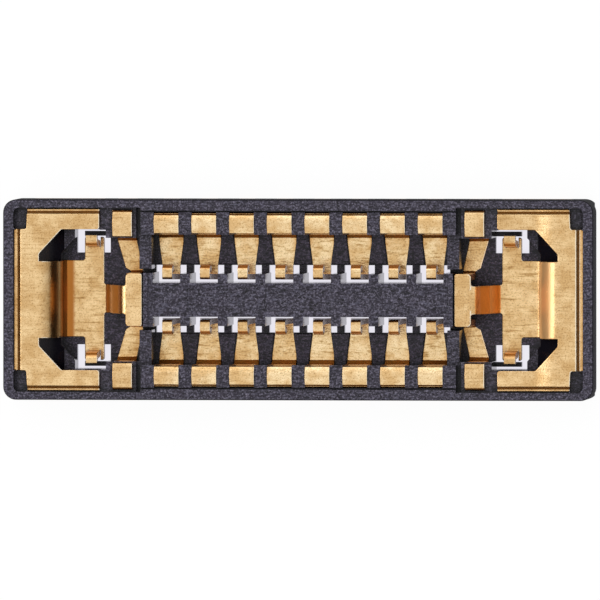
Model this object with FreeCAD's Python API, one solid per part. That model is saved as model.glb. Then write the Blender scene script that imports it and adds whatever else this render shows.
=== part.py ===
import FreeCAD, Part

import math
import os

# Board-to-board connector for a flexible circuit: the receptacle half, open side up.
# X runs along the contact rows, Y across them and Z up from the circuit board.
# The origin is in the middle of the underside. All sizes are in millimetres.

# Contact field
PITCH = 0.35
CONTACTS_PER_ROW = 8
STRIP = 0.05
CONTACT_WIDTH = 0.228
FLOOR_WIDTH_OUTER = 0.222
FLOOR_WIDTH_INNER = 0.165
ARM_WIDTH = 0.092
TAIL_WIDTH = 0.15

# Heights
HEIGHT = 0.60
METAL_DROP = 0.015
RIB_DROP = 0.035
STRIP_UNDER = 0.03
TIP_DROP = 0.12
BLOCK_RISE = 0.03

# Across the body, from the middle outwards
ISLAND_HALF = 0.156
TIP_GAP = 0.033
TIP_DEPTH = 0.113
GROOVE = 0.300
HAIRPIN = 0.210
RIM_STEP = 0.014
RIM = 0.100

# Arch of every hairpin over the side wall, and the ledge coined along its outer edge
ARCH_DROP = 0.07
ARCH_SHOULDER = 0.012
ARCH_EASE = 0.018
ARCH_FLAT = 0.03
LEDGE = 0.018
LEDGE_DEPTH = 0.036
CREASE = 0.013
GROOVE_DEPTH = 0.04

# Bends of the contact strip, radii at its middle, and its folded spring arm
FLOOR_BEND = 0.09
ROOT_BEND = 0.03
TIP_FOLD = 0.002
ARM_LEAN = 0.012
CROWN_HEIGHT = 0.38
CROWN_BULGE = 0.022
ARM_END_HEIGHT = 0.28
TAPER_HEIGHT = 0.24

# Moulded floor, its holes round the arms and the comb of the island
HOLE_HALF = 0.14
HOLE_REACH = 0.156
STUB_WIDTH = 0.09
STUB_REACH = 0.085
BLOCK_WIDTH = 0.10
BLOCK_FOOT_WIDTH = 0.156
WINDOW_WIDTH = 0.14
WINDOW_MARGIN = 0.03
ISLAND_DROP = 0.02
HEAD_LENGTH = 0.089
HEAD_HALF = 0.248
HEAD_LIP = 0.042
CONTACT_TO_HEAD = 0.123
PANEL_HALF = 0.10
PANEL_DEPTH = 0.008
MIDDLE_PANEL = (-0.307, 0.303)
LEFT_PANEL = (-1.030, -0.632)
PARTITION_LENGTH = 0.113
PARTITION_HEIGHT = 0.45

# End terminal, lengths outwards from the island's head
SHELL = 0.06
COVER_GAP = 0.013
COVER_LENGTH = 0.15
COVER_HALF = 0.243
RISER_HALF = 0.13
RISER_RUN = 0.19
RISER_BULGE = 0.03
RISER_BEND = 0.06
PLATE_LENGTH = 0.325
PLATE_WIDE_LENGTH = 0.18
PLATE_HALF = 0.57
TONGUE_BEND_LOW = 0.05
TONGUE_BEND_HIGH = 0.15
TONGUE_HALF = 0.355
TOP_LENGTH = 0.357
END_LEDGE = 0.036
END_CREASE = 0.032
SIDE_LEDGE = 0.020
SIDE_CREASE = 0.028
PLATE_LEDGE_DEPTH = 0.03
SHELL_BEND = 0.03
COVER_BEND = 0.06
ARM_INNER_HALF = 0.652
SIDE_ARM_LENGTH = 0.667
NOTCH_LENGTH = 0.128
GUSSET_DIAGONAL_START = 0.35
GUSSET_DIAGONAL_LENGTH = 0.21
GUSSET_DIAGONAL_HALF = 0.425
SIDE_STRIP_WIDTH = 0.18
SIDE_STRIP_CENTRE = 0.197
SIDE_STRIP_FOOT_WIDTH = 0.16
SIDE_STRIP_FOOT_SHIFT = 0.066
SIDE_STRIP_FACE = 0.571
TAB_WIDTH = 0.108
TAB_FROM_PLATE_EDGE = 0.092
TAB_INSET = 0.095
TAB_SLIT = 0.004
TAB_HEIGHT = 0.36
TAB_LEAN = 0.02
TAB_TIP = 0.07
END_TAIL_HALF = 0.40
PLATE_ROUNDING = 0.02
PLATE_CORNER = 0.03
NOTCH_EASE = 0.01
SIDE_LEG_GAP = 0.02
STRIP_TURN = 0.03
FOOT_TURN = 0.04
FOOT_EASE = 0.01

# Moulded ends
END_WALL = 0.095
END_RIM = 0.074
SIDE_GAP = 0.012
CORNER_RADIUS = 0.12
POCKET_DEPTH = 0.08
POCKET_ROUNDING = 0.02
POCKET_CORNER = 0.05
SLOT_WIDTH = 0.045
SLOT_FLOOR = 0.45
SLOT_OVERLAP = 0.10
CORE_GAP = 0.02
PARTITION_OVERLAP = 0.03
FOOT_RECESS = 0.035
FOOT_HEIGHT = 0.25
GUSSET_DROP = 0.07
GUSSET_FOOT = 0.30
RIM_ROUNDING = 0.012
CLEAR = 0.012
TAB_HOLE_INNER_MARGIN = 0.06
TAB_HOLE_OUTER_MARGIN = 0.158
TAB_HOLE_SIDE = 0.425
CAVITY_MARGIN = 0.007
WINDOW_BAR = 0.044
WINDOW_BAR_GAP = 0.02

# Bends tighter than this are made of a few flat facets
FACETED_RADIUS = 0.118
FACETS = 3

# Levels that follow
metal_top = HEIGHT - METAL_DROP
rib_top = HEIGHT - RIB_DROP
island_top = HEIGHT - ISLAND_DROP
floor_top = STRIP_UNDER + STRIP
tip_top = HEIGHT - TIP_DROP
sky = HEIGHT + 0.1

# Places across the body that follow
tip_inner = ISLAND_HALF + TIP_GAP
crown = tip_inner + TIP_DEPTH
wall_face = crown + GROOVE
hairpin_outer = wall_face + HAIRPIN
rim_inner = hairpin_outer + RIM_STEP
half_width = rim_inner + RIM
end_rim_inner = half_width - END_RIM
side_outer = end_rim_inner - SIDE_GAP
cavity_half = ARM_INNER_HALF - CAVITY_MARGIN
hole_outer = ISLAND_HALF + HOLE_REACH

# Places along the body that follow
row_half = PITCH * (CONTACTS_PER_ROW - 1) / 2
head_inner = row_half + CONTACT_TO_HEAD
head_outer = head_inner + HEAD_LENGTH
partition_inner = row_half + HOLE_HALF + CAVITY_MARGIN
end_inner = partition_inner + PARTITION_LENGTH
cover_inner = head_outer + COVER_GAP
cover_outer = cover_inner + COVER_LENGTH
plate_inner = cover_outer + RISER_RUN + RISER_BEND
plate_wide_outer = plate_inner + PLATE_WIDE_LENGTH
tongue_face = plate_inner + PLATE_LENGTH + TONGUE_BEND_LOW
shell_outer = tongue_face + TOP_LENGTH + SHELL
half_length = shell_outer + END_WALL
notch_start = shell_outer - NOTCH_LENGTH
side_arm_inner = notch_start - SIDE_ARM_LENGTH
diagonal_inner = side_arm_inner + GUSSET_DIAGONAL_START
diagonal_outer = diagonal_inner + GUSSET_DIAGONAL_LENGTH
strip_centre = head_outer + SIDE_STRIP_CENTRE
tab_centre = plate_inner + TAB_FROM_PLATE_EDGE
tab_line = PLATE_HALF - TAB_INSET
tab_hole_inner = plate_inner - TAB_HOLE_INNER_MARGIN
tab_hole_outer = tab_centre + TAB_HOLE_OUTER_MARGIN


def plan(a, b, c):
    """Point of an outline seen from above."""
    return FreeCAD.Vector(a, b, c)


def across(a, b, c):
    """Point of a section across the body, in Y and Z."""
    return FreeCAD.Vector(c, a, b)


def along(a, b, c):
    """Point of a section along the body, in X and Z."""
    return FreeCAD.Vector(a, c, b)


def solid(view, corners, start, end):
    """Solid from start to end of a view, from corners of (place, place, rounding radius)."""
    points = [view(corner[0], corner[1], start) for corner in corners]
    ends = []
    edges = []
    for i, corner in enumerate(corners):
        to_before = (points[i - 1] - points[i]).normalize()
        to_after = (points[(i + 1) % len(points)] - points[i]).normalize()
        radius = corner[2] if len(corner) == 3 else 0
        half_angle = to_before.getAngle(to_after) / 2
        reach = radius / math.tan(half_angle)
        arc_start = points[i] + to_before * reach
        arc_end = points[i] + to_after * reach
        ends.append((arc_start, arc_end))
        if not radius:
            continue
        inwards = (to_before + to_after).normalize()
        centre = points[i] + inwards * (radius / math.sin(half_angle))
        arc_middle = centre - inwards * radius
        if radius > FACETED_RADIUS:
            edges.append(Part.Arc(arc_start, arc_middle, arc_end).toShape())
            continue
        chain = [arc_start]
        for step in range(1, FACETS):
            chord_place = arc_start + (arc_end - arc_start) * (step / FACETS)
            chain.append(centre + (chord_place - centre).normalize() * radius)
        chain.append(arc_end)
        for one, other in zip(chain, chain[1:]):
            edges.append(Part.LineSegment(one, other).toShape())
    for i in range(len(points)):
        line_start = ends[i - 1][1]
        line_end = ends[i][0]
        if line_start.distanceToPoint(line_end) > 1e-6:
            edges.append(Part.LineSegment(line_start, line_end).toShape())
    wire = Part.Wire(Part.__sortEdges__(edges))
    return Part.Face(wire).extrude(view(0, 0, end - start))


def strip_section(path, thickness):
    """Corners of a bent strip's section, from its middle line of (place, place, bend radius)."""
    half = thickness / 2
    points = [FreeCAD.Vector(a, b, 0) for a, b, radius in path]
    left = []
    right = []
    for i, point in enumerate(points):
        coming = point - points[i - 1] if i else points[1] - point
        going = points[i + 1] - point if i + 1 < len(points) else coming
        coming = FreeCAD.Vector(coming).normalize()
        going = FreeCAD.Vector(going).normalize()
        side = FreeCAD.Vector(-coming.y - going.y, coming.x + going.x, 0)
        side = side * (thickness / side.Length**2)
        turn = coming.x * going.y - coming.y * going.x
        radius = path[i][2]
        inner = max(radius - half, 0)
        outer = radius + half if radius else 0
        left_radius, right_radius = (inner, outer) if turn > 0 else (outer, inner)
        left.append((point.x + side.x, point.y + side.y, left_radius))
        right.append((point.x - side.x, point.y - side.y, right_radius))
    return left + right[::-1]


def box(x0, x1, y0, y1, z0, z1):
    """Block between two limits on each axis."""
    return Part.makeBox(x1 - x0, y1 - y0, z1 - z0, FreeCAD.Vector(x0, y0, z0))


def flipped(shape, axis):
    """Mirror image of a shape in the middle plane across an axis."""
    return shape.mirror(FreeCAD.Vector(0, 0, 0), axis)


def with_flip(shapes, axis):
    """The shapes together with their mirror images."""
    return shapes + [flipped(shape, axis) for shape in shapes]


def arch(outer, inner, top):
    """Middle line of a strip's arch over the side wall, from its outer leg to its inner one."""
    crest = (outer + inner) / 2
    return [
        (outer, top - ARCH_DROP, 0),
        (outer - ARCH_SHOULDER, top - ARCH_EASE, 0),
        (crest + ARCH_FLAT / 2, top, 0),
        (crest - ARCH_FLAT / 2, top, 0),
        (inner + ARCH_SHOULDER, top - ARCH_EASE, 0),
        (inner, top - ARCH_DROP, 0),
    ]


X_AXIS = FreeCAD.Vector(1, 0, 0)
Y_AXIS = FreeCAD.Vector(0, 1, 0)


def contact_arch():
    """Middle line of a contact's arch."""
    return arch(hairpin_outer - STRIP / 2, wall_face + STRIP / 2, metal_top - STRIP / 2)


def signal_contact():
    """Contact of the upper row at x = 0: tail, hairpin over the wall, floor and spring arm."""
    leg = hairpin_outer - STRIP / 2
    face = wall_face + STRIP / 2
    low = STRIP_UNDER + STRIP / 2
    carrier_path = [(half_width, STRIP / 2, 0), (leg, STRIP / 2, 0)]
    carrier_path += contact_arch()
    carrier_path += [(face, low, FLOOR_BEND), (crown, low, 0)]
    wall_half = CONTACT_WIDTH / 2
    carrier_outline = [
        (crown, -FLOOR_WIDTH_INNER / 2),
        (wall_face - FLOOR_BEND, -FLOOR_WIDTH_OUTER / 2),
        (wall_face, -wall_half),
        (hairpin_outer, -wall_half),
        (hairpin_outer, -TAIL_WIDTH / 2),
        (half_width, -TAIL_WIDTH / 2),
    ]
    carrier_outline += [(a, -b) for a, b in reversed(carrier_outline)]
    turned = [(-b, a) for a, b in carrier_outline]
    carrier = solid(across, strip_section(carrier_path, STRIP), -wall_half, wall_half)
    carrier = carrier.common(solid(plan, turned, 0, HEIGHT))
    ledge_edge = hairpin_outer - LEDGE
    crease = [
        (hairpin_outer, sky),
        (hairpin_outer, metal_top - LEDGE_DEPTH),
        (ledge_edge, metal_top - LEDGE_DEPTH),
        (ledge_edge - CREASE, metal_top - ARCH_EASE),
        (ledge_edge - CREASE, sky),
    ]
    carrier = carrier.cut(solid(across, crease, -wall_half, wall_half))
    arm = tip_inner + STRIP / 2
    crown_line = crown - STRIP / 2
    tip = tip_top - STRIP / 2
    arm_path = [
        (crown, low, 0),
        (arm - ARM_LEAN, low, ROOT_BEND),
        (arm, tip, TIP_FOLD),
        (crown_line, tip, TIP_FOLD),
        (crown_line + CROWN_BULGE, CROWN_HEIGHT, 0),
        (crown_line, ARM_END_HEIGHT, 0),
    ]
    taper = [
        (-FLOOR_WIDTH_INNER / 2, 0),
        (FLOOR_WIDTH_INNER / 2, 0),
        (FLOOR_WIDTH_INNER / 2, floor_top),
        (ARM_WIDTH / 2, TAPER_HEIGHT),
        (ARM_WIDTH / 2, HEIGHT),
        (-ARM_WIDTH / 2, HEIGHT),
        (-ARM_WIDTH / 2, TAPER_HEIGHT),
        (-FLOOR_WIDTH_INNER / 2, floor_top),
    ]
    spring = solid(across, strip_section(arm_path, STRIP), -wall_half, wall_half)
    spring = spring.common(solid(along, taper, 0, half_width))
    return carrier.fuse(spring).removeSplitter()


def end_terminal():
    """Terminal at the +X end, one stamped and folded piece."""
    top = metal_top - SHELL / 2
    low = floor_top - SHELL / 2
    wall_line = tongue_face + SHELL / 2
    leg_line = shell_outer - SHELL / 2
    side_leg = side_outer - SHELL / 2
    bend_start = wall_line + TONGUE_BEND_HIGH

    # Top plate with its notched outer corners and the window over each spring tab
    quarter = [
        (shell_outer, 0),
        (shell_outer, ARM_INNER_HALF),
        (notch_start + NOTCH_EASE, ARM_INNER_HALF, PLATE_ROUNDING),
        (notch_start, side_outer),
        (side_arm_inner, side_outer),
        (side_arm_inner, ARM_INNER_HALF, PLATE_ROUNDING),
        (diagonal_inner, ARM_INNER_HALF, PLATE_CORNER),
        (diagonal_outer, GUSSET_DIAGONAL_HALF, PLATE_CORNER),
        (diagonal_outer, TONGUE_HALF),
        (bend_start, TONGUE_HALF),
        (bend_start, 0),
    ]
    half_plate = solid(plan, quarter, metal_top - SHELL, metal_top)

    # Folded band: tongue, floor plate, riser and the cover over the island
    band_path = [
        (bend_start + SHELL, top, 0),
        (wall_line, top, TONGUE_BEND_HIGH),
        (wall_line, low, TONGUE_BEND_LOW + SHELL / 2),
        (plate_inner - RISER_BEND, low, RISER_BEND + SHELL / 2),
        (cover_outer + RISER_RUN / 2 + RISER_BULGE, (low + top) / 2, RISER_BEND),
        (cover_outer + FOOT_EASE, top, RISER_BEND),
        (cover_inner, top, 0),
    ]
    band = solid(along, strip_section(band_path, SHELL), 0, PLATE_HALF)
    band_outline = [
        (bend_start + SHELL, 0),
        (bend_start + SHELL, TONGUE_HALF),
        (plate_wide_outer, TONGUE_HALF, PLATE_ROUNDING),
        (plate_wide_outer, PLATE_HALF, PLATE_ROUNDING),
        (plate_inner, PLATE_HALF, PLATE_ROUNDING),
        (plate_inner, RISER_HALF, PLATE_ROUNDING),
        (cover_outer, RISER_HALF, PLATE_ROUNDING),
        (cover_outer, COVER_HALF, PLATE_CORNER),
        (cover_inner, COVER_HALF, PLATE_ROUNDING),
        (cover_inner, 0),
    ]
    band = band.common(solid(plan, band_outline, 0, sky))
    tab_half = TAB_WIDTH / 2
    slit_inner = tab_centre - tab_half - TAB_SLIT
    slit_outer = tab_centre + tab_half + TAB_SLIT
    band = band.cut(box(slit_inner, slit_outer, tab_line, PLATE_HALF, 0, sky))

    # Legs that turn down into the end wall and the side walls, with their solder tails
    end_leg_path = [
        (half_length - FOOT_RECESS, SHELL / 2, 0),
        (leg_line, SHELL / 2, 0),
        (leg_line, top, 0),
        (leg_line - SHELL, top, 0),
    ]
    end_leg = solid(along, strip_section(end_leg_path, SHELL), 0, END_TAIL_HALF)
    side_leg_path = [
        (half_width, SHELL / 2, 0),
        (side_leg, SHELL / 2, 0),
        (side_leg, top, 0),
        (side_leg - SHELL, top, 0),
    ]
    side_section = strip_section(side_leg_path, SHELL)
    side_leg_solid = solid(across, side_section, side_arm_inner, notch_start - SIDE_LEG_GAP)

    # Side strip: from the island's cover down, over the floor and over the side wall
    face_line = SIDE_STRIP_FACE + SHELL / 2
    cover_line = COVER_HALF - SHELL / 2
    side_strip_path = [(half_width, SHELL / 2, 0), (side_leg, SHELL / 2, 0)]
    side_strip_path += arch(side_leg, face_line, top)
    side_strip_path += [
        (face_line, low, FLOOR_BEND),
        (cover_line, low, COVER_BEND),
        (cover_line, top, SHELL_BEND),
        (RISER_HALF - SHELL / 2, top, 0),
    ]
    strip_outer = strip_centre + SIDE_STRIP_WIDTH / 2
    strip_inner = strip_centre - SIDE_STRIP_WIDTH / 2
    foot_centre = strip_centre - SIDE_STRIP_FOOT_SHIFT
    foot_outer = foot_centre + SIDE_STRIP_FOOT_WIDTH / 2
    foot_inner = foot_centre - SIDE_STRIP_FOOT_WIDTH / 2
    side_strip_outline = [
        (strip_outer, half_width),
        (strip_outer, SIDE_STRIP_FACE - STRIP_TURN),
        (foot_outer, COVER_HALF + FOOT_TURN),
        (cover_outer, COVER_HALF + FOOT_EASE),
        (cover_outer, 0),
        (foot_inner, 0),
        (foot_inner, COVER_HALF + FOOT_TURN),
        (strip_inner, SIDE_STRIP_FACE - STRIP_TURN),
        (strip_inner, half_width),
    ]
    side_strip = solid(across, strip_section(side_strip_path, SHELL), cover_inner, strip_outer)
    side_strip = side_strip.common(solid(plan, side_strip_outline, 0, sky))

    # Spring tab that stands on the floor plate's edge
    tab_path = [
        (tab_line - SHELL, low, 0),
        (tab_line + SHELL / 2, low, SHELL_BEND),
        (tab_line + SHELL / 2 + TAB_LEAN, TAB_HEIGHT - SHELL / 2, SHELL_BEND),
        (tab_line + SHELL / 2 + TAB_LEAN + TAB_TIP, TAB_HEIGHT - SHELL / 2, 0),
    ]
    tab_section = strip_section(tab_path, SHELL)
    tab = solid(across, tab_section, tab_centre - tab_half, tab_centre + tab_half)

    # Coined ledge and crease round the outer edges
    end_ledge = shell_outer - END_LEDGE
    side_ledge = side_outer - SIDE_LEDGE
    end_crease = [
        (shell_outer, sky),
        (shell_outer, metal_top - PLATE_LEDGE_DEPTH),
        (end_ledge, metal_top - PLATE_LEDGE_DEPTH),
        (end_ledge - END_CREASE, metal_top),
        (end_ledge - END_CREASE, sky),
    ]
    side_crease = [
        (side_outer, sky),
        (side_outer, metal_top - PLATE_LEDGE_DEPTH),
        (side_ledge, metal_top - PLATE_LEDGE_DEPTH),
        (side_ledge - SIDE_CREASE, metal_top),
        (side_ledge - SIDE_CREASE, sky),
    ]
    half = half_plate.multiFuse([band, end_leg, side_leg_solid, side_strip, tab])
    half = half.cut(solid(along, end_crease, 0, half_width))
    half = half.cut(solid(across, side_crease, 0, shell_outer))
    return half.fuse(flipped(half, Y_AXIS)).removeSplitter()


def contact_places():
    """Centre of each contact along the row, from left to right."""
    return [PITCH * i - row_half for i in range(CONTACTS_PER_ROW)]


def rib_places():
    """Middle of each gap between two neighbouring contacts."""
    return [PITCH * (i + 0.5) - row_half for i in range(CONTACTS_PER_ROW - 1)]


def housing():
    """The moulded body before the metal's own shape is taken out of it."""
    corners = [
        (half_length, half_width, CORNER_RADIUS),
        (-half_length, half_width, CORNER_RADIUS),
        (-half_length, -half_width, CORNER_RADIUS),
        (half_length, -half_width, CORNER_RADIUS),
    ]
    body = solid(plan, corners, 0, HEIGHT)
    top_edges = [edge for edge in body.Edges if edge.CenterOfMass.z > HEIGHT - 1e-6]
    body = body.makeFillet(RIM_ROUNDING, top_edges)

    # The plug's cavity, in one quarter
    middle = box(0, end_inner, 0, wall_face, floor_top, sky)
    cavity_corners = [
        (0, 0),
        (0, SIDE_STRIP_FACE),
        (tab_hole_inner, SIDE_STRIP_FACE),
        (tab_hole_inner, cavity_half),
        (tab_hole_outer, cavity_half),
        (tab_hole_outer, PLATE_HALF),
        (tongue_face, TAB_HOLE_SIDE),
        (tongue_face, 0),
    ]
    cavity = solid(plan, cavity_corners, floor_top, sky)

    # Lower tops: the side walls' ribs, and the seats of the terminal's top plate
    wall_step = box(0, end_inner, 0, rim_inner, rib_top, sky)
    groove = box(0, end_inner, hairpin_outer, rim_inner, rib_top - GROOVE_DEPTH, sky)
    seat_corners = [
        (end_inner, 0),
        (end_inner, end_rim_inner),
        (notch_start, end_rim_inner),
        (notch_start, ARM_INNER_HALF),
        (shell_outer, ARM_INNER_HALF),
        (shell_outer, 0),
    ]
    seat = solid(plan, seat_corners, metal_top - SHELL, sky)
    gusset_corners = [
        (side_arm_inner, GUSSET_FOOT),
        (diagonal_inner, GUSSET_FOOT),
        (diagonal_outer, HEIGHT - GUSSET_DROP),
        (diagonal_outer, sky),
        (side_arm_inner, sky),
    ]
    gusset = solid(along, gusset_corners, 0, ARM_INNER_HALF)
    pocket_corners = [
        (notch_start, ARM_INNER_HALF),
        (notch_start, end_rim_inner, POCKET_ROUNDING),
        (shell_outer, end_rim_inner, POCKET_CORNER),
        (shell_outer, ARM_INNER_HALF, POCKET_ROUNDING),
    ]
    pocket = solid(plan, pocket_corners, HEIGHT - POCKET_DEPTH, sky)
    slot = box(
        end_inner - SLOT_WIDTH / 2,
        end_inner + SLOT_WIDTH / 2,
        wall_face - SLOT_OVERLAP,
        end_rim_inner,
        SLOT_FLOOR,
        sky,
    )
    cuts = [middle, cavity, wall_step, groove, seat, gusset, pocket, slot]

    # Holes through the floor round the spring arms and round the terminal's tab
    for place in contact_places():
        if place > 0:
            cuts.append(box(place - HOLE_HALF, place + HOLE_HALF, ISLAND_HALF, hole_outer, 0, sky))
            window_half = WINDOW_WIDTH / 2
            window_inner = hole_outer + WINDOW_MARGIN
            window_outer = wall_face - FLOOR_BEND
            window_limits = (place - window_half, place + window_half, window_inner, window_outer)
            cuts.append(box(*window_limits, 0, STRIP_UNDER))
    cuts.append(box(tab_hole_inner, tab_hole_outer, TAB_HOLE_SIDE, cavity_half, 0, floor_top))

    # Room over each contact's arch, down to the middle of its strip
    room = [(a, b) for a, b, radius in contact_arch()]
    room = [(hairpin_outer, room[0][1])] + room + [(wall_face, room[-1][1])]
    room += [(wall_face, sky), (hairpin_outer, sky)]
    wall_half = CONTACT_WIDTH / 2
    for place in contact_places():
        if place > 0:
            cuts.append(solid(across, room, place - wall_half, place + wall_half))

    # Recessed foot of the end wall, where the terminal's tail is soldered
    foot = box(half_length - FOOT_RECESS, half_length, 0, half_width, 0, FOOT_HEIGHT)
    cuts.append(foot)
    cuts = with_flip(with_flip(cuts, X_AXIS), Y_AXIS)
    body = body.cut(cuts)

    # What stands in the cavity: the island, its comb, heads and partitions, and floor blocks
    stands = [box(0, head_outer, 0, ISLAND_HALF, 0, island_top)]
    stands.append(box(head_inner, head_outer, 0, HEAD_HALF, 0, island_top))
    stands.append(box(head_outer - HEAD_LIP, head_outer, 0, HEAD_HALF, 0, HEIGHT))
    core_half = COVER_HALF - SHELL
    stands.append(box(head_outer, cover_outer - CORE_GAP, 0, core_half, 0, metal_top - SHELL))
    stub_outer = ISLAND_HALF + STUB_REACH
    for place in rib_places():
        if place > -PITCH / 4:
            stub_half = STUB_WIDTH / 2
            stands.append(box(place - stub_half, place + stub_half, 0, stub_outer, 0, island_top))
            block = [
                (place - BLOCK_FOOT_WIDTH / 2, hole_outer + CLEAR),
                (place + BLOCK_FOOT_WIDTH / 2, hole_outer + CLEAR),
                (place + BLOCK_WIDTH / 2, wall_face),
                (place - BLOCK_WIDTH / 2, wall_face),
            ]
            stands.append(solid(plan, block, 0, floor_top + BLOCK_RISE))
    partition_start = hole_outer - PARTITION_OVERLAP
    stands.append(box(partition_inner, end_inner, partition_start, wall_face, 0, PARTITION_HEIGHT))
    bar_outer = cavity_half - WINDOW_BAR_GAP
    bar_inner = bar_outer - WINDOW_BAR
    bar = box(tab_hole_inner - CLEAR, plate_wide_outer, bar_inner, bar_outer, 0, floor_top)
    stands.append(bar)
    stands = with_flip(with_flip(stands, X_AXIS), Y_AXIS)
    body = body.multiFuse(stands).removeSplitter()

    # Shallow panels of the mould's inserts in the island's top
    panel_floor = island_top - PANEL_DEPTH
    for start, end in (MIDDLE_PANEL, LEFT_PANEL):
        body = body.cut(box(start, end, -PANEL_HALF, PANEL_HALF, panel_floor, sky))
    return body


def save(shape, name):
    """Write one piece to its own file."""
    shape.exportStep(f"parts/{name}.step")


def build():
    """Make every piece and write it out."""
    os.makedirs("parts", exist_ok=True)
    pieces = {}
    contact = signal_contact()
    for number, place in enumerate(contact_places(), start=1):
        upper = contact.copy()
        upper.translate(FreeCAD.Vector(place, 0, 0))
        lower = flipped(upper, Y_AXIS)
        pieces[f"signal_contact_a{number}"] = upper
        pieces[f"signal_contact_b{number}"] = lower
    right = end_terminal()
    pieces["power_terminal_right"] = right
    pieces["power_terminal_left"] = flipped(right, X_AXIS)
    pieces["housing"] = housing().cut(list(pieces.values()))
    for name, shape in pieces.items():
        save(shape, name)


build()
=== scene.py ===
import bpy
import math
from mathutils import Matrix, Vector


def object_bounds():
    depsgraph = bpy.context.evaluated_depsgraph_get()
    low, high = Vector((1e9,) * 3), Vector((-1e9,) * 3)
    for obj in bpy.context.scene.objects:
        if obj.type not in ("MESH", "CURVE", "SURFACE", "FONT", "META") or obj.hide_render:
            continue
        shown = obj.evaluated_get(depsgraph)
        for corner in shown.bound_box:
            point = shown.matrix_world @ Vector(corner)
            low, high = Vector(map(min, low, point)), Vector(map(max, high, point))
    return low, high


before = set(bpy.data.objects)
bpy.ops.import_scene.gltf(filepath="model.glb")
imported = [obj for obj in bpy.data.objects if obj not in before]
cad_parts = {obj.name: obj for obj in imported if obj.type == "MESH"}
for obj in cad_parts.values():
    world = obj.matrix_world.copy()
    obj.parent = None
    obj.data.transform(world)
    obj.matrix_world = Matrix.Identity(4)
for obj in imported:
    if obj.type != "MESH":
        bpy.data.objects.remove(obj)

cad_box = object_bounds()
MM = 0.001
WHITE = (1, 1, 1)
BLACK = (0, 0, 0)

rim_height = cad_box[1].z

# The photograph's frame: its scale on the rim's plane, and where the object's middle lies in it
PHOTO_SIZE = 600
PIXELS_PER_MM = 108.3
PHOTO_CENTRE = (297.8, 300.2)
PHOTO_TILT_X = 0.0963
PHOTO_TILT_Y = 0.025
PHOTO_ROLL = math.radians(-0.02)
CAMERA_DISTANCE = 250 * MM
SENSOR_WIDTH = 36
CLIP_NEAR = 0.5 * CAMERA_DISTANCE
CLIP_FAR = 4 * CAMERA_DISTANCE

# Studio: a glowing floor, a light tent that is brightest overhead, and two square lamps
FLOOR_SIZE = 400 * MM
FLOOR_GAP = 0.004 * MM
FLOOR_COLOUR = (0.86, 0.86, 0.87)
FLOOR_ROUGHNESS = 0.9
FLOOR_GLOW = 1.04
FLOOR_GLOW_SHARE = 0.9
SHADOW_REACH = 0.5 * MM
# painted shadow: the floor's glow turns lavender where the body encloses it
SHADOW_TINT = [(0.60, WHITE), (0.82, (0.85, 0.83, 0.91))]
TENT_GREYS = [(0.0, 0.34), (0.45, 0.50), (0.72, 0.78), (0.92, 1.0)]
LAMP_SIZE = 60 * MM
LEFT_LAMP = (-90 * MM, 5 * MM, 55 * MM)
LEFT_POWER = 0.022
BACK_LAMP = (-20 * MM, 80 * MM, 80 * MM)
BACK_POWER = 0.008

# Places on the part: outer skin of the body, and bends and half widths of the terminals' tongues
CORNER_DEPTH = 0.13 * MM
WALL_SKIN = 0.02 * MM
BEND_START = 2.42 * MM
BEND_END = 2.13 * MM
TERMINAL_BEND_DEPTH = 0.06 * MM
CONTACT_BEND_DEPTH = 0.0
TONGUE_HALF = 0.44 * MM
TONGUE_FADE = 0.50 * MM
SHADED_BEND = (-2.42 * MM, -2.22 * MM, -2.15 * MM, -2.11 * MM)
LIT_BEND = (2.17 * MM, 2.23 * MM, 2.32 * MM, 2.40 * MM)

# Gold: lines along the strip, stains and grain, in features per millimetre
CONTACT_STREAKS = (9, 46, 46)
TERMINAL_STREAKS = (4, 56, 56)
STAINS = (6, 6, 6)
GOLD_GRAIN = (70, 70, 70)
STAIN_RANGE = (0.34, 0.66)
LINE_TINTS = [(0.32, (0.56, 0.46, 0.32)), (0.44, (0.92, 0.90, 0.84)), (0.60, WHITE)]
SPECK_TINTS = [(0.32, (0.50, 0.42, 0.30)), (0.45, (0.90, 0.87, 0.80)), (0.60, WHITE)]
SPECK_SHARE = 0.8
LINE_FADE = 0.6
LINE_RELIEF = 0.0014 * MM
GOLD_RELIEF = 0.0012 * MM
GOLD_ROUGHNESS = (0.14, 0.32)

# Gold: colour of the plating and of its sheared sides; painted shade in hollows and along edges, a painted
# highlight on right-turning edges, painted orange reflection and shade on slopes, and painted shade and
# light on the tongues' bends
CONTACT_COLOURS = ((0.78, 0.52, 0.25), (1.0, 0.78, 0.48))
TERMINAL_COLOURS = ((0.70, 0.45, 0.205), (0.92, 0.665, 0.365))
CONTACT_EDGE = 0.006 * MM
TERMINAL_EDGE = 0.014 * MM
CONTACT_SIDE_CUT = 1.0
TERMINAL_SIDE_CUT = 0.0
# painted shade: the plating darkens to brown where it is enclosed, in hollows and at the foot of slopes
HOLLOW_REACH = 0.16 * MM
HOLLOW_SHADE = [(0.25, WHITE), (0.60, (0.78, 0.57, 0.32))]
# painted shade: the plating darkens to brown close to its rounded edges
EDGE_SHADE = [(0.08, WHITE), (0.28, (0.50, 0.31, 0.16))]
# painted highlight: edges that lean towards +X turn pale cream
EDGE_TO_RIGHT = (0.03, 0.22)
EDGE_ONSET = (0.0, 0.03)
PAINTED_EDGE_HIGHLIGHT = (1.0, 0.93, 0.76)
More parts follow.
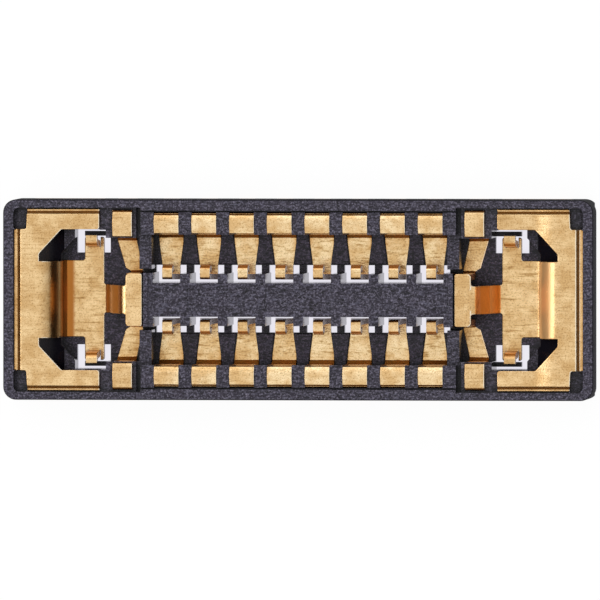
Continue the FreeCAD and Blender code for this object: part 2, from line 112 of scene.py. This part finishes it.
# painted reflection and shade: slopes deep in or low down turn orange, darker where more enclosed, and less
# metallic
SLOPE_COSINES = (0.72, 0.97)
DEEP_REACH = 0.30 * MM
DEEP_RANGE = (0.22, 0.46)
HIGH_RANGE = (0.74, 0.92)
SLOPE_SHADE_REACH = 0.40 * MM
SLOPE_REFLECTION_AND_SHADE = [(0.30, (0.70, 0.27, 0.045)), (0.80, (0.22, 0.065, 0.012))]
SHEARED_COSINES = (0.90, 0.98)
SHEARED_COLOUR = (0.14, 0.055, 0.02)
SHADED_COLOURS = [(0.40, (0.40, 0.15, 0.03)), (0.66, (0.13, 0.075, 0.028))]
LIT_COLOUR = (1.0, 0.58, 0.25)
LIT_DULLNESS = 1.6
DULL_METALLIC = 0.5

# Black moulding: clouds, glass grain and flow lines, in features per millimetre
CLOUDS = (9, 9, 9)
PLASTIC_GRAIN = (58, 58, 58)
FLOW = (20, 56, 30)
FLAT_COSINES = (0.90, 0.99)
CLOUD_COLOURS = ((0.012, 0.012, 0.020), (0.036, 0.027, 0.046))
GRAIN_SPECKS = [(0.50, BLACK), (0.68, WHITE)]
GRAIN_COLOUR = (0.22, 0.20, 0.27)
FLOW_LINES = [(0.52, BLACK), (0.70, WHITE)]
FLOW_COLOUR = (0.16, 0.155, 0.22)
FLOW_SHARE = 0.7
PIT_TINT = [(0.34, (0.08, 0.08, 0.10)), (0.46, WHITE)]
# painted shade: the moulding darkens lower down, in the deep parts of the cavity
DEPTH_SHADE = [(0.40, (0.72, 0.64, 0.74)), (0.75, WHITE)]
WALL_COLOUR = (0.008, 0.007, 0.011)
# painted shade: the moulding darkens to near black in creases and pockets
CREASE_REACH = 0.20 * MM
CREASE_SHADE = [(0.30, WHITE), (0.66, (0.08, 0.07, 0.10))]
PLASTIC_ROUGHNESS = (0.36, 0.60)
WALL_POLISH = 0.30
PLASTIC_SPECULAR = 0.28
PLASTIC_EDGE = 0.006 * MM
GRAIN_RELIEF = 0.0030 * MM
FLOW_RELIEF = 0.0024 * MM

# Noise: how many finer layers each texture has, and how strong they are
NOISE_DETAIL = 3.0
STREAK_DETAIL = 2.0
GOLD_NOISE = 0.6
CLOUD_NOISE = 0.5
PLASTIC_NOISE = 0.7

# Shading of every piece
SHADER_SAMPLES = 8
CURVE_ANGLE = math.radians(31)
WELD_DISTANCE = 0.00002 * MM

# Numbers of the mix node's sockets: factor, first and second value, and result
COLOUR_SOCKETS = (0, 6, 7)
COLOUR_RESULT = 2
DIRECTION_SOCKETS = (0, 4, 5)
DIRECTION_RESULT = 1


def new_material(name):
    """Empty node material: its tree and its shader."""
    material = bpy.data.materials.new(name)
    material.use_nodes = True
    tree = material.node_tree
    tree.nodes.clear()
    output = tree.nodes.new("ShaderNodeOutputMaterial")
    shader = tree.nodes.new("ShaderNodeBsdfPrincipled")
    tree.links.new(shader.outputs["BSDF"], output.inputs["Surface"])
    return material, tree, shader


def coordinate(tree, kind):
    """One of the texture coordinates, such as the place on the object in metres."""
    return tree.nodes.new("ShaderNodeTexCoord").outputs[kind]


def stretched(tree, place, scale):
    """The coordinate times a scale for each axis, in features per millimetre."""
    mapping = tree.nodes.new("ShaderNodeMapping")
    mapping.inputs["Scale"].default_value = [value / MM for value in scale]
    tree.links.new(place, mapping.inputs["Vector"])
    return mapping.outputs["Vector"]


def noise(tree, place, scale, strength, detail=NOISE_DETAIL):
    """Noise texture's value at a coordinate, with finer layers of a given strength."""
    node = tree.nodes.new("ShaderNodeTexNoise")
    node.inputs["Scale"].default_value = 1.0
    node.inputs["Detail"].default_value = detail
    node.inputs["Roughness"].default_value = strength
    tree.links.new(stretched(tree, place, scale), node.inputs["Vector"])
    return node.outputs["Fac"]


def ramp(tree, value, stops):
    """Colour ramp over a value, from (position, colour) stops."""
    node = tree.nodes.new("ShaderNodeValToRGB")
    elements = node.color_ramp.elements
    while len(elements) < len(stops):
        elements.new(0.5)
    for element, (position, colour) in zip(elements, stops):
        element.position = position
        element.color = (*colour, 1.0)
    tree.links.new(value, node.inputs["Fac"])
    return node.outputs["Color"]


def connect(tree, value, socket):
    """Feed a socket from another one, or set it to a number or a colour."""
    if hasattr(value, "links"):
        tree.links.new(value, socket)
    elif isinstance(value, tuple):
        socket.default_value = (*value, 1.0)
    else:
        socket.default_value = value


def blend(tree, factor, first, second, mode="MIX"):
    """Mix of two colours; each may be a socket or a colour, and the factor a socket or a number."""
    node = tree.nodes.new("ShaderNodeMix")
    node.data_type = "RGBA"
    node.blend_type = mode
    for number, value in zip(COLOUR_SOCKETS, (factor, first, second)):
        connect(tree, value, node.inputs[number])
    return node.outputs[COLOUR_RESULT]


def tinted(tree, colour, tint, amount=1.0):
    """A colour times a tint, by an amount."""
    return blend(tree, amount, colour, tint, "MULTIPLY")


def arithmetic(tree, operation, first, second):
    """One arithmetic step between sockets or numbers."""
    node = tree.nodes.new("ShaderNodeMath")
    node.operation = operation
    for socket, value in zip(node.inputs, (first, second)):
        connect(tree, value, socket)
    return node.outputs[0]


def both(tree, first, second):
    """Product of two masks."""
    return arithmetic(tree, "MULTIPLY", first, second)


def either(tree, first, second):
    """Larger one of two masks."""
    return arithmetic(tree, "MAXIMUM", first, second)


def opposite(tree, mask):
    """1 where a mask is 0, and 0 where it is 1."""
    return arithmetic(tree, "SUBTRACT", 1.0, mask)


def limits(tree, value, low, high):
    """A value from 0 to 1 mapped to the range from low to high."""
    node = tree.nodes.new("ShaderNodeMapRange")
    node.inputs["To Min"].default_value = low
    node.inputs["To Max"].default_value = high
    tree.links.new(value, node.inputs["Value"])
    return node.outputs["Result"]


def rise(tree, value, low, high):
    """0 up to a low value, 1 from a high one, and an eased slope between them."""
    node = tree.nodes.new("ShaderNodeMapRange")
    node.interpolation_type = "SMOOTHSTEP"
    node.inputs["From Min"].default_value = low
    node.inputs["From Max"].default_value = high
    tree.links.new(value, node.inputs["Value"])
    return node.outputs["Result"]


def window(tree, value, stops):
    """1 between the two inner stops and 0 outside of the two outer ones."""
    first, second, third, fourth = stops
    return both(tree, rise(tree, value, first, second), opposite(tree, rise(tree, value, third, fourth)))


def signed_part(tree, vector, axis):
    """One part of a vector."""
    parts = tree.nodes.new("ShaderNodeSeparateXYZ")
    tree.links.new(vector, parts.inputs["Vector"])
    return parts.outputs[axis]


def axis_part(tree, vector, axis):
    """Absolute value of one part of a vector."""
    return arithmetic(tree, "ABSOLUTE", signed_part(tree, vector, axis), 0.0)


def height_share(tree, place):
    """Height as a share of the whole part's."""
    return arithmetic(tree, "DIVIDE", axis_part(tree, place, "Z"), rim_height)


def facing(tree, axis, cosines):
    """0 to 1 as the surface turns to face along an axis, between two cosines."""
    least, most = cosines
    return ramp(tree, axis_part(tree, coordinate(tree, "Normal"), axis), [(least, BLACK), (most, WHITE)])


def rounded_normal(tree, radius):
    """Surface direction with every sharp edge rounded by a radius."""
    node = tree.nodes.new("ShaderNodeBevel")
    node.samples = SHADER_SAMPLES
    node.inputs["Radius"].default_value = radius
    return node.outputs["Normal"]


def near_edge(tree, radius):
    """How far the rounded direction leans from the flat one near sharp edges, and its lean along X."""
    surface = tree.nodes.new("ShaderNodeNewGeometry")
    rounded = rounded_normal(tree, radius)
    alike = tree.nodes.new("ShaderNodeVectorMath")
    alike.operation = "DOT_PRODUCT"
    tree.links.new(rounded, alike.inputs[0])
    tree.links.new(surface.outputs["Normal"], alike.inputs[1])
    return opposite(tree, alike.outputs["Value"]), signed_part(tree, rounded, "X")


def enclosed(tree, distance):
    """0 in the open and 1 deep in a crease or pocket."""
    node = tree.nodes.new("ShaderNodeAmbientOcclusion")
    node.samples = SHADER_SAMPLES
    node.inputs["Distance"].default_value = distance
    return opposite(tree, node.outputs["AO"])


def bump(tree, height, depth, normal):
    """Surface direction over a height map of a given depth."""
    node = tree.nodes.new("ShaderNodeBump")
    node.inputs["Strength"].default_value = 1.0
    node.inputs["Distance"].default_value = depth
    tree.links.new(height, node.inputs["Height"])
    tree.links.new(normal, node.inputs["Normal"])
    return node.outputs["Normal"]


def outer_face(tree, place):
    """1 on the outside of the body's walls and corners, and 0 inside of them."""
    past_end = arithmetic(tree, "GREATER_THAN", axis_part(tree, place, "X"), cad_box[1].x - CORNER_DEPTH)
    past_side = arithmetic(tree, "GREATER_THAN", axis_part(tree, place, "Y"), cad_box[1].y - WALL_SKIN)
    return either(tree, past_end, past_side)


def tongue_bend(tree, place, stops):
    """1 on the slope of a terminal's tongue that lies between stops along X."""
    within = opposite(tree, rise(tree, axis_part(tree, place, "Y"), TONGUE_HALF, TONGUE_FADE))
    return both(tree, window(tree, signed_part(tree, place, "X"), stops), within)


def worn_plating(tree, place, streaks, grain, height, colours):
    """Colour of flat plating: light stains, lines along the strip that are stronger low down, and specks."""
    deep, pale = colours
    stains = rise(tree, noise(tree, place, STAINS, GOLD_NOISE), *STAIN_RANGE)
    colour = blend(tree, stains, deep, pale)
    low = opposite(tree, arithmetic(tree, "MULTIPLY", height, LINE_FADE))
    colour = tinted(tree, colour, ramp(tree, streaks, LINE_TINTS), low)
    return tinted(tree, colour, ramp(tree, grain, SPECK_TINTS), SPECK_SHARE)


def with_edges(tree, colour, radius):
    """Colour with painted shade in hollows and along edges, and a painted highlight on edges where they turn
    to the right.
    """
    # painted shade: darker brown plating where it is enclosed in hollows
    colour = tinted(tree, colour, ramp(tree, enclosed(tree, HOLLOW_REACH), HOLLOW_SHADE))
    edge_lean, lean_right = near_edge(tree, radius)
    # painted shade: darker brown plating close to rounded edges
    colour = tinted(tree, colour, ramp(tree, edge_lean, EDGE_SHADE))
    # painted highlight: pale cream on edges that lean towards +X
    bright = both(tree, rise(tree, lean_right, *EDGE_TO_RIGHT), rise(tree, edge_lean, *EDGE_ONSET))
    return blend(tree, bright, colour, PAINTED_EDGE_HIGHLIGHT)


def gold(name, streak_scale, colours, edge, side_cut, bend_depth):
    """Gold plating on rolled strip: fine lines and grain, painted orange reflection and painted shade on
    slopes and in creases, and painted shade and light on the tongues' bends.
    """
    material, tree, shader = new_material(name)
    place = coordinate(tree, "Object")
    streaks = noise(tree, place, streak_scale, GOLD_NOISE, STREAK_DETAIL)
    grain = noise(tree, place, GOLD_GRAIN, GOLD_NOISE)
    height = height_share(tree, place)
    colour = worn_plating(tree, place, streaks, grain, height, colours)
    colour = with_edges(tree, colour, edge)
    sloped = opposite(tree, facing(tree, "Z", SLOPE_COSINES))
    deep_in = rise(tree, enclosed(tree, DEEP_REACH), *DEEP_RANGE)
    low_down = opposite(tree, rise(tree, height, *HIGH_RANGE))
    slope_paint = both(tree, sloped, either(tree, deep_in, low_down))
    # painted reflection and shade: orange on slopes, darker where more enclosed
    colour = blend(tree, slope_paint, colour, ramp(tree, enclosed(tree, SLOPE_SHADE_REACH), SLOPE_REFLECTION_AND_SHADE))
    sheared = arithmetic(tree, "MULTIPLY", facing(tree, "X", SHEARED_COSINES), side_cut)
    colour = blend(tree, sheared, colour, SHEARED_COLOUR)
    shaded = tongue_bend(tree, place, SHADED_BEND)
    colour = blend(tree, shaded, colour, ramp(tree, height, SHADED_COLOURS))
    lit = tongue_bend(tree, place, LIT_BEND)
    colour = blend(tree, lit, colour, LIT_COLOUR)
    tree.links.new(colour, shader.inputs["Base Color"])
    dull = both(tree, slope_paint, opposite(tree, sheared))
    dull = either(tree, dull, arithmetic(tree, "MULTIPLY", lit, LIT_DULLNESS))
    tree.links.new(limits(tree, dull, 1.0, DULL_METALLIC), shader.inputs["Metallic"])
    tree.links.new(limits(tree, streaks, *GOLD_ROUGHNESS), shader.inputs["Roughness"])
    bend = rise(tree, axis_part(tree, place, "X"), BEND_END, BEND_START)
    normal = bump(tree, bend, bend_depth, rounded_normal(tree, edge))
    normal = bump(tree, streaks, LINE_RELIEF, normal)
    normal = bump(tree, grain, GOLD_RELIEF, normal)
    tree.links.new(normal, shader.inputs["Normal"])
    return material


def moulded_colour(tree, place, grain, flow, flat):
    """Colour of the moulding: clouded, speckled and lined on flat faces, near black on upright ones, with
    painted shade lower down and in creases.
    """
    dark, light = CLOUD_COLOURS
    colour = blend(tree, noise(tree, place, CLOUDS, CLOUD_NOISE), dark, light)
    colour = blend(tree, ramp(tree, grain, GRAIN_SPECKS), colour, GRAIN_COLOUR)
    line = arithmetic(tree, "MULTIPLY", ramp(tree, flow, FLOW_LINES), FLOW_SHARE)
    colour = blend(tree, line, colour, FLOW_COLOUR)
    colour = tinted(tree, colour, ramp(tree, flow, PIT_TINT))
    # painted shade: darker lower down
    colour = tinted(tree, colour, ramp(tree, height_share(tree, place), DEPTH_SHADE))
    colour = blend(tree, flat, WALL_COLOUR, colour)
    # painted shade: near black in creases and pockets
    return tinted(tree, colour, ramp(tree, enclosed(tree, CREASE_REACH), CREASE_SHADE))


def black_moulding(name):
    """Glass-filled black moulding: grained top faces with flow lines, and polished upright walls."""
    material, tree, shader = new_material(name)
    place = coordinate(tree, "Object")
    grain = noise(tree, place, PLASTIC_GRAIN, PLASTIC_NOISE)
    flow = noise(tree, place, FLOW, PLASTIC_NOISE)
    flat = facing(tree, "Z", FLAT_COSINES)
    tree.links.new(moulded_colour(tree, place, grain, flow, flat), shader.inputs["Base Color"])
    roughness = both(tree, limits(tree, grain, *PLASTIC_ROUGHNESS), limits(tree, flat, WALL_POLISH, 1.0))
    outer_wall = arithmetic(tree, "SUBTRACT", outer_face(tree, place), flat)
    tree.links.new(arithmetic(tree, "ADD", roughness, outer_wall), shader.inputs["Roughness"])
    shader.inputs["Specular IOR Level"].default_value = PLASTIC_SPECULAR
    smooth = rounded_normal(tree, PLASTIC_EDGE)
    rough = bump(tree, flow, FLOW_RELIEF, bump(tree, grain, GRAIN_RELIEF, smooth))
    choice = tree.nodes.new("ShaderNodeMix")
    choice.data_type = "VECTOR"
    for number, value in zip(DIRECTION_SOCKETS, (flat, smooth, rough)):
        tree.links.new(value, choice.inputs[number])
    tree.links.new(choice.outputs[DIRECTION_RESULT], shader.inputs["Normal"])
    return material


def angle_smoothing():
    """Node group that welds a piece's corners and shades every edge below the curve angle smoothly."""
    group = bpy.data.node_groups.new("smooth_by_angle", "GeometryNodeTree")
    group.interface.new_socket("Geometry", in_out="INPUT", socket_type="NodeSocketGeometry")
    group.interface.new_socket("Geometry", in_out="OUTPUT", socket_type="NodeSocketGeometry")
    nodes, links = group.nodes, group.links
    start = nodes.new("NodeGroupInput")
    end = nodes.new("NodeGroupOutput")
    weld = nodes.new("GeometryNodeMergeByDistance")
    weld.inputs["Distance"].default_value = WELD_DISTANCE
    fold = nodes.new("GeometryNodeInputMeshEdgeAngle")
    compare = nodes.new("FunctionNodeCompare")
    compare.operation = "LESS_EQUAL"
    compare.inputs["B"].default_value = CURVE_ANGLE
    faces = nodes.new("GeometryNodeSetShadeSmooth")
    faces.domain = "FACE"
    edges = nodes.new("GeometryNodeSetShadeSmooth")
    edges.domain = "EDGE"
    links.new(start.outputs[0], weld.inputs["Geometry"])
    links.new(weld.outputs["Geometry"], faces.inputs["Geometry"])
    links.new(faces.outputs["Geometry"], edges.inputs["Geometry"])
    links.new(fold.outputs["Unsigned Angle"], compare.inputs["A"])
    links.new(compare.outputs["Result"], edges.inputs["Shade Smooth"])
    links.new(edges.outputs["Geometry"], end.inputs[0])
    return group


def paint(piece, material):
    """Give a piece one material."""
    piece.data.materials.clear()
    piece.data.materials.append(material)


def dress_pieces():
    """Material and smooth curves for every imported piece."""
    contact_gold = gold(
        "contact_gold",
        CONTACT_STREAKS,
        CONTACT_COLOURS,
        CONTACT_EDGE,
        CONTACT_SIDE_CUT,
        CONTACT_BEND_DEPTH,
    )
    terminal_gold = gold(
        "terminal_gold",
        TERMINAL_STREAKS,
        TERMINAL_COLOURS,
        TERMINAL_EDGE,
        TERMINAL_SIDE_CUT,
        TERMINAL_BEND_DEPTH,
    )
    moulding = black_moulding("black_moulding")
    smoothing = angle_smoothing()
    for name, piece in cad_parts.items():
        if name.startswith("signal_contact"):
            paint(piece, contact_gold)
        elif name.startswith("power_terminal"):
            paint(piece, terminal_gold)
        else:
            paint(piece, moulding)
        piece.modifiers.new("smooth curves", "NODES").node_group = smoothing


def seen_directly(tree):
    """1 for rays that show the background: those of the camera, of reflections and of glass."""
    path = tree.nodes.new("ShaderNodeLightPath")
    mirrored = either(tree, path.outputs["Is Glossy Ray"], path.outputs["Is Transmission Ray"])
    return either(tree, path.outputs["Is Camera Ray"], mirrored)


def make_floor():
    """Pale floor that looks white, keeps the object's soft shadow, and has a painted shadow tinted into its
    glow under the body.
    """
    bpy.ops.mesh.primitive_plane_add(size=FLOOR_SIZE, location=(0, 0, -FLOOR_GAP))
    floor = bpy.context.object
    floor.name = "studio_floor"
    material, tree, shader = new_material("studio_floor")
    connect(tree, FLOOR_COLOUR, shader.inputs["Base Color"])
    shader.inputs["Roughness"].default_value = FLOOR_ROUGHNESS
    glow = tree.nodes.new("ShaderNodeEmission")
    # painted shadow: the glow is tinted lavender under the body
    tree.links.new(ramp(tree, enclosed(tree, SHADOW_REACH), SHADOW_TINT), glow.inputs["Color"])
    glow.inputs["Strength"].default_value = FLOOR_GLOW
    mix = tree.nodes.new("ShaderNodeMixShader")
    tree.links.new(arithmetic(tree, "MULTIPLY", seen_directly(tree), FLOOR_GLOW_SHARE), mix.inputs[0])
    tree.links.new(shader.outputs["BSDF"], mix.inputs[1])
    tree.links.new(glow.outputs["Emission"], mix.inputs[2])
    output = next(node for node in tree.nodes if node.type == "OUTPUT_MATERIAL")
    tree.links.new(mix.outputs["Shader"], output.inputs["Surface"])
    paint(floor, material)


def make_world():
    """Light tent: bright overhead, dimmer towards the horizon, and white where the camera sees it."""
    world = bpy.data.worlds.new("light_tent")
    bpy.context.scene.world = world
    world.use_nodes = True
    tree = world.node_tree
    tree.nodes.clear()
    output = tree.nodes.new("ShaderNodeOutputWorld")
    background = tree.nodes.new("ShaderNodeBackground")
    upward = signed_part(tree, coordinate(tree, "Generated"), "Z")
    tent = ramp(tree, upward, [(position, (grey, grey, grey)) for position, grey in TENT_GREYS])
    tree.links.new(blend(tree, seen_directly(tree), tent, WHITE), background.inputs["Color"])
    background.inputs["Strength"].default_value = 1.0
    tree.links.new(background.outputs["Background"], output.inputs["Surface"])


def make_lamp(name, location, power):
    """Square soft lamp that points at the object."""
    data = bpy.data.lights.new(name, "AREA")
    data.shape = "SQUARE"
    data.size = LAMP_SIZE
    data.energy = power
    lamp = bpy.data.objects.new(name, data)
    bpy.context.scene.collection.objects.link(lamp)
    lamp.location = location
    lamp.rotation_mode = "QUATERNION"
    lamp.rotation_quaternion = (-Vector(location)).to_track_quat("-Z", "Y")


def make_lights():
    """Two soft lamps, from the left and the back, outside of what the object's flat tops mirror."""
    make_lamp("soft_left", LEFT_LAMP, LEFT_POWER)
    make_lamp("soft_back", BACK_LAMP, BACK_POWER)


def make_camera():
    """Long-lens camera at the photograph's angle and scale."""
    data = bpy.data.cameras.new("camera")
    camera = bpy.data.objects.new("camera", data)
    bpy.context.scene.collection.objects.link(camera)
    view_width = PHOTO_SIZE / PIXELS_PER_MM * MM
    data.sensor_width = SENSOR_WIDTH
    data.lens = CAMERA_DISTANCE * SENSOR_WIDTH / view_width
    data.clip_start = CLIP_NEAR
    data.clip_end = CLIP_FAR
    half = PHOTO_SIZE / 2
    shift_x = (half - PHOTO_CENTRE[0]) / PIXELS_PER_MM * MM
    shift_y = (PHOTO_CENTRE[1] - half) / PIXELS_PER_MM * MM
    target = Vector((shift_x, shift_y, rim_height))
    back = Vector((PHOTO_TILT_X, PHOTO_TILT_Y, 1)).normalized()
    right = Vector((0, 1, 0)).cross(back).normalized()
    up = back.cross(right)
    turned_right = right * math.cos(PHOTO_ROLL) + up * math.sin(PHOTO_ROLL)
    turned_up = back.cross(turned_right)
    axes = Matrix((turned_right, turned_up, back)).transposed()
    camera.matrix_world = Matrix.Translation(target + back * CAMERA_DISTANCE) @ axes.to_4x4()
    bpy.context.scene.camera = camera


dress_pieces()
make_floor()
make_world()
make_lights()
make_camera()
bpy.context.scene.view_settings.view_transform = "Standard"

bpy.context.view_layer.update()
